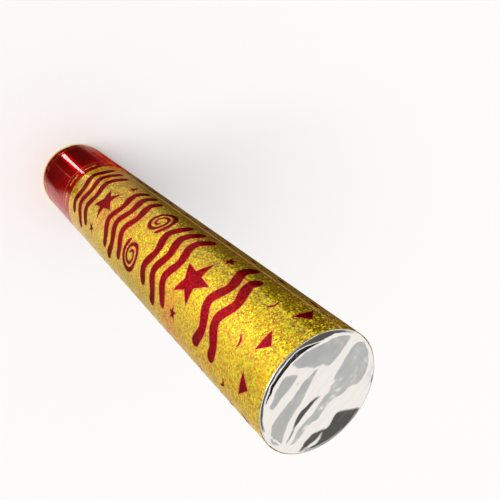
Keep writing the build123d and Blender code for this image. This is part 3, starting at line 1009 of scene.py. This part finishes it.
def moulded(name, dark, light, grain, depth, gloss, metallic=0.0, along=1.0):
    """A grained finish, with grain and depth in millimetres.

    along draws the grain out along Z if it is below 1, and presses it flat above 1.
    """
    material, shader = new_material(name)
    place = add_node(material, "ShaderNodeTexCoord").outputs["Object"]
    stretched = add_node(material, "ShaderNodeMapping",
                         {"Vector": place, "Scale": (1.0, 1.0, along)})
    texture = add_node(material, "ShaderNodeTexNoise",
                       {"Vector": stretched.outputs["Vector"], "Scale": 1 / (grain * MM),
                        "Detail": 4.0})
    tone = add_node(material, "ShaderNodeValToRGB", {"Fac": texture.outputs["Fac"]})
    set_ramp(tone, [(0.35, dark), (0.65, light)])
    link(material, tone.outputs["Color"], shader, "Base Color")
    shine = add_node(material, "ShaderNodeMapRange",
                     {"Value": texture.outputs["Fac"], "To Min": gloss - GLOSS_SPREAD,
                      "To Max": gloss + GLOSS_SPREAD})
    link(material, shine.outputs["Result"], shader, "Roughness")
    relief = add_node(material, "ShaderNodeBump",
                      {"Height": texture.outputs["Fac"], "Strength": 0.4,
                       "Distance": depth * MM})
    link(material, relief.outputs["Normal"], shader, "Normal")
    shader.inputs["Metallic"].default_value = metallic
    return material


# %% [markdown]
# ## Finishes of the solids
# Each slot of the part gets the finish of its real material. Polypropylene and acetal are
# milky and half dull, and the blown bottle is smoother, with broad soft waves. Black nylon
# and rubber hardly shine, drawn wire has fine streaks, and tissue slips lie in close layers.
# Every solid could have a finish of its own, but pieces of one material look alike.

# %% Finishes of the solids
SLIP_GRAIN = 0.25
SLIP_DEPTH = 0.08
SLIP_ALONG = 3.0
SLIPS = (
    # colour, darker tone, lighter tone, roughness
    ("gold", "#c89a28", "#e8c050", 0.6),
    ("red", "#a8141c", "#cc2a30", 0.8),
    ("silver", "#a8aaae", "#d0d2d6", 0.5),
    ("green", "#1c7a36", "#30a050", 0.8),
)

finishes = {
    "gold_film": gold_film,
    "red_film": red_film,
    "silver_film": foil_film,
    "paperboard": board,
    "plug_plastic": moulded("moulded_polypropylene", "#d2cec2", "#e0dcd0", 0.8, 0.03, 0.45),
    "bottle_plastic": moulded("blown_polyethylene", "#d8dcdc", "#e8ecec", 6.0, 0.05, 0.3),
    "valve_plastic": moulded("moulded_black_nylon", "#1c1c1e", "#2a2a2d", 0.6, 0.03, 0.5),
    "washer_plastic": moulded("punched_acetal_sheet", "#dcdcd6", "#eaeae6", 1.0, 0.02, 0.4),
    "plunger_plastic": moulded("moulded_acetal", "#d8d2bc", "#e6e2d0", 0.8, 0.03, 0.38),
    "collar_plastic": moulded("moulded_black_polypropylene", "#202022", "#2e2e31",
                              0.7, 0.03, 0.5),
    "seal_rubber": moulded("nitrile_rubber", "#141414", "#232323", 0.5, 0.04, 0.7),
    "steel": moulded("drawn_steel_wire", "#b0b0b2", "#cacacc", 0.3, 0.01, 0.3,
                     metallic=1.0, along=0.05),
}
for name, dark, light, gloss in SLIPS:
    finishes[name + "_paper"] = moulded(name + "_tissue_slips", dark, light, SLIP_GRAIN,
                                        SLIP_DEPTH, gloss, along=SLIP_ALONG)
for part in frame["record"]["subparts"]:
    nodes[part["node"]].material_slots[0].material = finishes[part["material_slot"]]
print(len(finishes), "finishes on", len(nodes), "solids")

# %% [markdown]
# ## Floor
# The popper stands on a sheet of white paper that fills the picture. A curved sweep would do
# the same, but from above only the flat part of it shows. Paper is matt, so it has no shine.

# %% Floor
FLOOR_SIZE = 12.0

bpy.ops.object.select_all(action="DESELECT")
bpy.ops.mesh.primitive_plane_add(size=FLOOR_SIZE)
floor = bpy.context.object
floor.name = "floor"
paper, shader = new_material("white_paper_sweep")
shader.inputs["Base Color"].default_value = colour("#fcfbfa")
shader.inputs["Roughness"].default_value = 0.9
shader.inputs["Specular IOR Level"].default_value = 0.0
floor.data.materials.append(paper)
print("floor of", FLOOR_SIZE, "m")

# %% [markdown]
# ## Surround and lamp
# A white tent and one soft lamp light the popper. Lamps on all sides could stand in for the
# tent, but the film would show each of them. The world is plain white where the camera or a
# reflection sees it, and a little dimmer as a light, so that the floor keeps the popper's
# shadow and pale colours don't burn out.

# %% Surround and lamp
AMBIENT = 0.64
SUN = 1.5
SUN_TILT = (math.radians(32), math.radians(22), 0)
SUN_SOFTNESS = math.radians(40)

world = bpy.data.worlds.new("studio")
bpy.context.scene.world = world
world.use_nodes = True
rays = add_node(world, "ShaderNodeLightPath")
seen = add_node(world, "ShaderNodeMath",
                {0: rays.outputs["Is Camera Ray"], 1: rays.outputs["Is Glossy Ray"]},
                operation="MAXIMUM")
seen = add_node(world, "ShaderNodeMath",
                {0: seen.outputs["Value"], 1: rays.outputs["Is Transmission Ray"]},
                operation="MAXIMUM")
level = add_node(world, "ShaderNodeMapRange",
                 {"Value": seen.outputs["Value"], "To Min": AMBIENT, "To Max": 1.0})
background = world.node_tree.nodes["Background"]
link(world, level.outputs["Result"], background, "Strength")
background.inputs["Color"].default_value = (1, 1, 1, 1)

bpy.ops.object.light_add(type="SUN", rotation=SUN_TILT)
lamp = bpy.context.object
lamp.name = "soft_key"
lamp.data.energy = SUN
lamp.data.angle = SUN_SOFTNESS
print("surround", AMBIENT, "and lamp", SUN)

# %% [markdown]
# ## Cards
# Shiny film shows its surroundings more than its own colour, and in a bare white room it
# would look flat. Photographers set flags and cards round such a thing. Lamps could do that
# too, but they would light the floor as well. So each card is a plane with an even glow that
# only reflections see: the camera doesn't see it, and it throws no light and no shadow.

# %% Card
HAIR = 0.0001


def card(name, corners, tint, strength=1.0, soft=0.0):
    """A flat card through four corners, in metres, seen only in reflections.

    Its edges fade out over the share soft of its width.
    """
    bpy.ops.object.select_all(action="DESELECT")
    bpy.ops.mesh.primitive_plane_add(size=1.0)
    flag = bpy.context.object
    flag.name = name
    for index, corner in zip((0, 1, 3, 2), corners):
        flag.data.vertices[index].co = corner
    material, shader = new_material(name + "_paint")
    shader.inputs["Base Color"].default_value = (0, 0, 0, 1)
    shader.inputs["Specular IOR Level"].default_value = 0.0
    shader.inputs["Emission Color"].default_value = colour(tint)
    shader.inputs["Emission Strength"].default_value = strength
    across = add_node(material, "ShaderNodeTexCoord").outputs["UV"]
    away = add_node(material, "ShaderNodeVectorMath",
                    {0: across, 1: (0.5, 0.5, 0.0)}, operation="SUBTRACT")
    away = add_node(material, "ShaderNodeVectorMath",
                    {0: away.outputs["Vector"]}, operation="ABSOLUTE")
    away = add_node(material, "ShaderNodeSeparateXYZ", {"Vector": away.outputs["Vector"]})
    away = add_node(material, "ShaderNodeMath",
                    {0: away.outputs["X"], 1: away.outputs["Y"]}, operation="MAXIMUM")
    fade = add_node(material, "ShaderNodeMapRange",
                    {"Value": away.outputs["Value"], "From Min": 0.5 + HAIR,
                     "From Max": 0.5 - soft}, interpolation_type="SMOOTHSTEP")
    link(material, fade.outputs["Result"], shader, "Alpha")
    flag.data.materials.append(material)
    flag.visible_camera = False
    flag.visible_diffuse = False
    flag.visible_shadow = False
    flag.visible_transmission = False


# %% [markdown]
# ## Cards on the floor
# From above, the sides of the upright tube mirror the floor round its foot. Broad cards shade
# the left side and warm the right one, a bright one in front makes the barrel's highlight,
# and small ones close to the foot darken the grip. A narrow strip gives the grip its streak.

# %% Floor cards
FLOOR_CARDS = (
    # name, height over the floor, colour, strength, soft edge, corners; in millimetres
    ("shade_card", 2.0, "#605238", 1.0, 0.16,
     ((-12, -70), (-12, 450), (-500, 450), (-500, -300))),
    ("side_card", 2.0, "#e0d8c4", 1.0, 0.12,
     ((40, 320), (40, -40), (360, -40), (360, 320))),
    ("nook_card", 2.6, "#443420", 1.0, 0.35,
     ((-30, 80), (-30, 0), (-90, 0), (-90, 80))),
    ("foot_card", 2.4, "#6e2622", 1.0, 0.14,
     ((39, -20), (-50, -12), (-55, -54), (36, -54))),
    ("warm_card", 2.8, "#a03230", 1.0, 0.3,
     ((34, -24), (-4, -26), (-6, -54), (36, -54))),
    ("red_card", 2.2, "#b01c10", 1.3, 0.3,
     ((-20, 40), (-60, 40), (-60, -30), (-20, -30))),
    ("streak_strip", 3.0, "#ffffff", 7.5, 0.0,
     ((-5.2, -28.4), (-8.4, -28.4), (-15.8, -48.0), (-11.6, -48.0))),
    ("hot_card", 2.5, "#fff8e8", 2.6, 0.35,
     ((260, -170), (-140, -170), (-140, -450), (260, -450))),
)
for name, height, tint, strength, soft, corners in FLOOR_CARDS:
    card(name, [(x * MM, y * MM, height * MM) for x, y in corners], tint, strength, soft)
print(len(FLOOR_CARDS), "cards on the floor")

# %% [markdown]
# ## Cards behind the popper
# The lid faces up, and in the camera's view its folds mirror what stands behind. A stack of
# cards there, from dark over an open white gap to greys, gives each slope its own tone.

# %% Back cards
BACK_HALF = 0.8
BACK_AWAY = 0.8
ROOF = 2.8
BACK_CARDS = (
    # name, lower and upper edge in metres, colour
    ("low_dark_card", 0.02, 0.55, "#1a1a1a"),
    ("pale_grey_card", 0.985, 1.10, "#c0c6c8"),
    ("grey_card", 1.10, 1.253, "#bac0c2"),
    ("high_dark_card", 1.253, 1.95, "#5a5a58"),
    ("top_grey_card", 1.95, ROOF, "#8c8e8e"),
)
for name, low, high, tint in BACK_CARDS:
    card(name, [(-BACK_HALF, BACK_AWAY, low), (BACK_HALF, BACK_AWAY, low),
                (BACK_HALF, BACK_AWAY, high), (-BACK_HALF, BACK_AWAY, high)], tint)
print(len(BACK_CARDS), "cards behind")

# %% [markdown]
# ## Walls and roof
# From other sides the lid would mirror nothing but white. Soft grey bars on the side walls,
# stripes in front and dark cards overhead keep its folds readable from there.

# %% Wall cards
WALL = 2.1
BAR_LOW = 0.6
BAR_HIGH = 2.6
STRIPE_HALF = 1.4
WALL_SOFT = 0.3
ROOFS = (
    # name, two corners in metres, colour, soft edge
    ("roof_card", (-BACK_HALF, 0.25), (BACK_HALF, BACK_AWAY), "#8c8e8e", 0.0),
    ("side_roof_card", (-2.6, -0.25), (-0.8, 1.2), "#343432", 0.25),
    ("front_roof_card", (-2.4, -2.1), (1.4, -0.5), "#343432", 0.25),
)
STRIPES = ((0.95, 1.3, "#b4babc"), (1.7, 2.05, "#a4aaac"), (2.4, 2.8, "#5a5a58"))
BARS = ((-0.9, -0.3, "#b0b6b8"), (0.12, 0.36, "#5a5a58"), (0.6, 1.2, "#a4aaac"))


def wall_card(name, low, high, tint, soft=0.0):
    """A card that is stretched between two corners: it lies flat, or faces along X or Y."""
    (x0, y0, z0), (x1, y1, z1) = low, high
    if x0 == x1:
        corners = [(x0, y0, z0), (x0, y1, z0), (x0, y1, z1), (x0, y0, z1)]
    else:
        corners = [(x0, y0, z0), (x1, y0, z0), (x1, y1, z1), (x0, y1, z1)]
    card(name, corners, tint, 1.0, soft)


for name, low, high, tint, soft in ROOFS:
    wall_card(name, (*low, ROOF), (*high, ROOF), tint, soft)
for low, high, tint in STRIPES:
    wall_card("front_stripe", (-STRIPE_HALF, -WALL, low), (STRIPE_HALF, -WALL, high), tint,
              WALL_SOFT)
for x in (-WALL, WALL):
    for low, high, tint in BARS:
        wall_card("side_bar", (x, low, BAR_LOW), (x, high, BAR_HIGH), tint, WALL_SOFT)
print(len(STRIPES), "stripes,", 2 * len(BARS), "bars and", len(ROOFS), "roof cards")
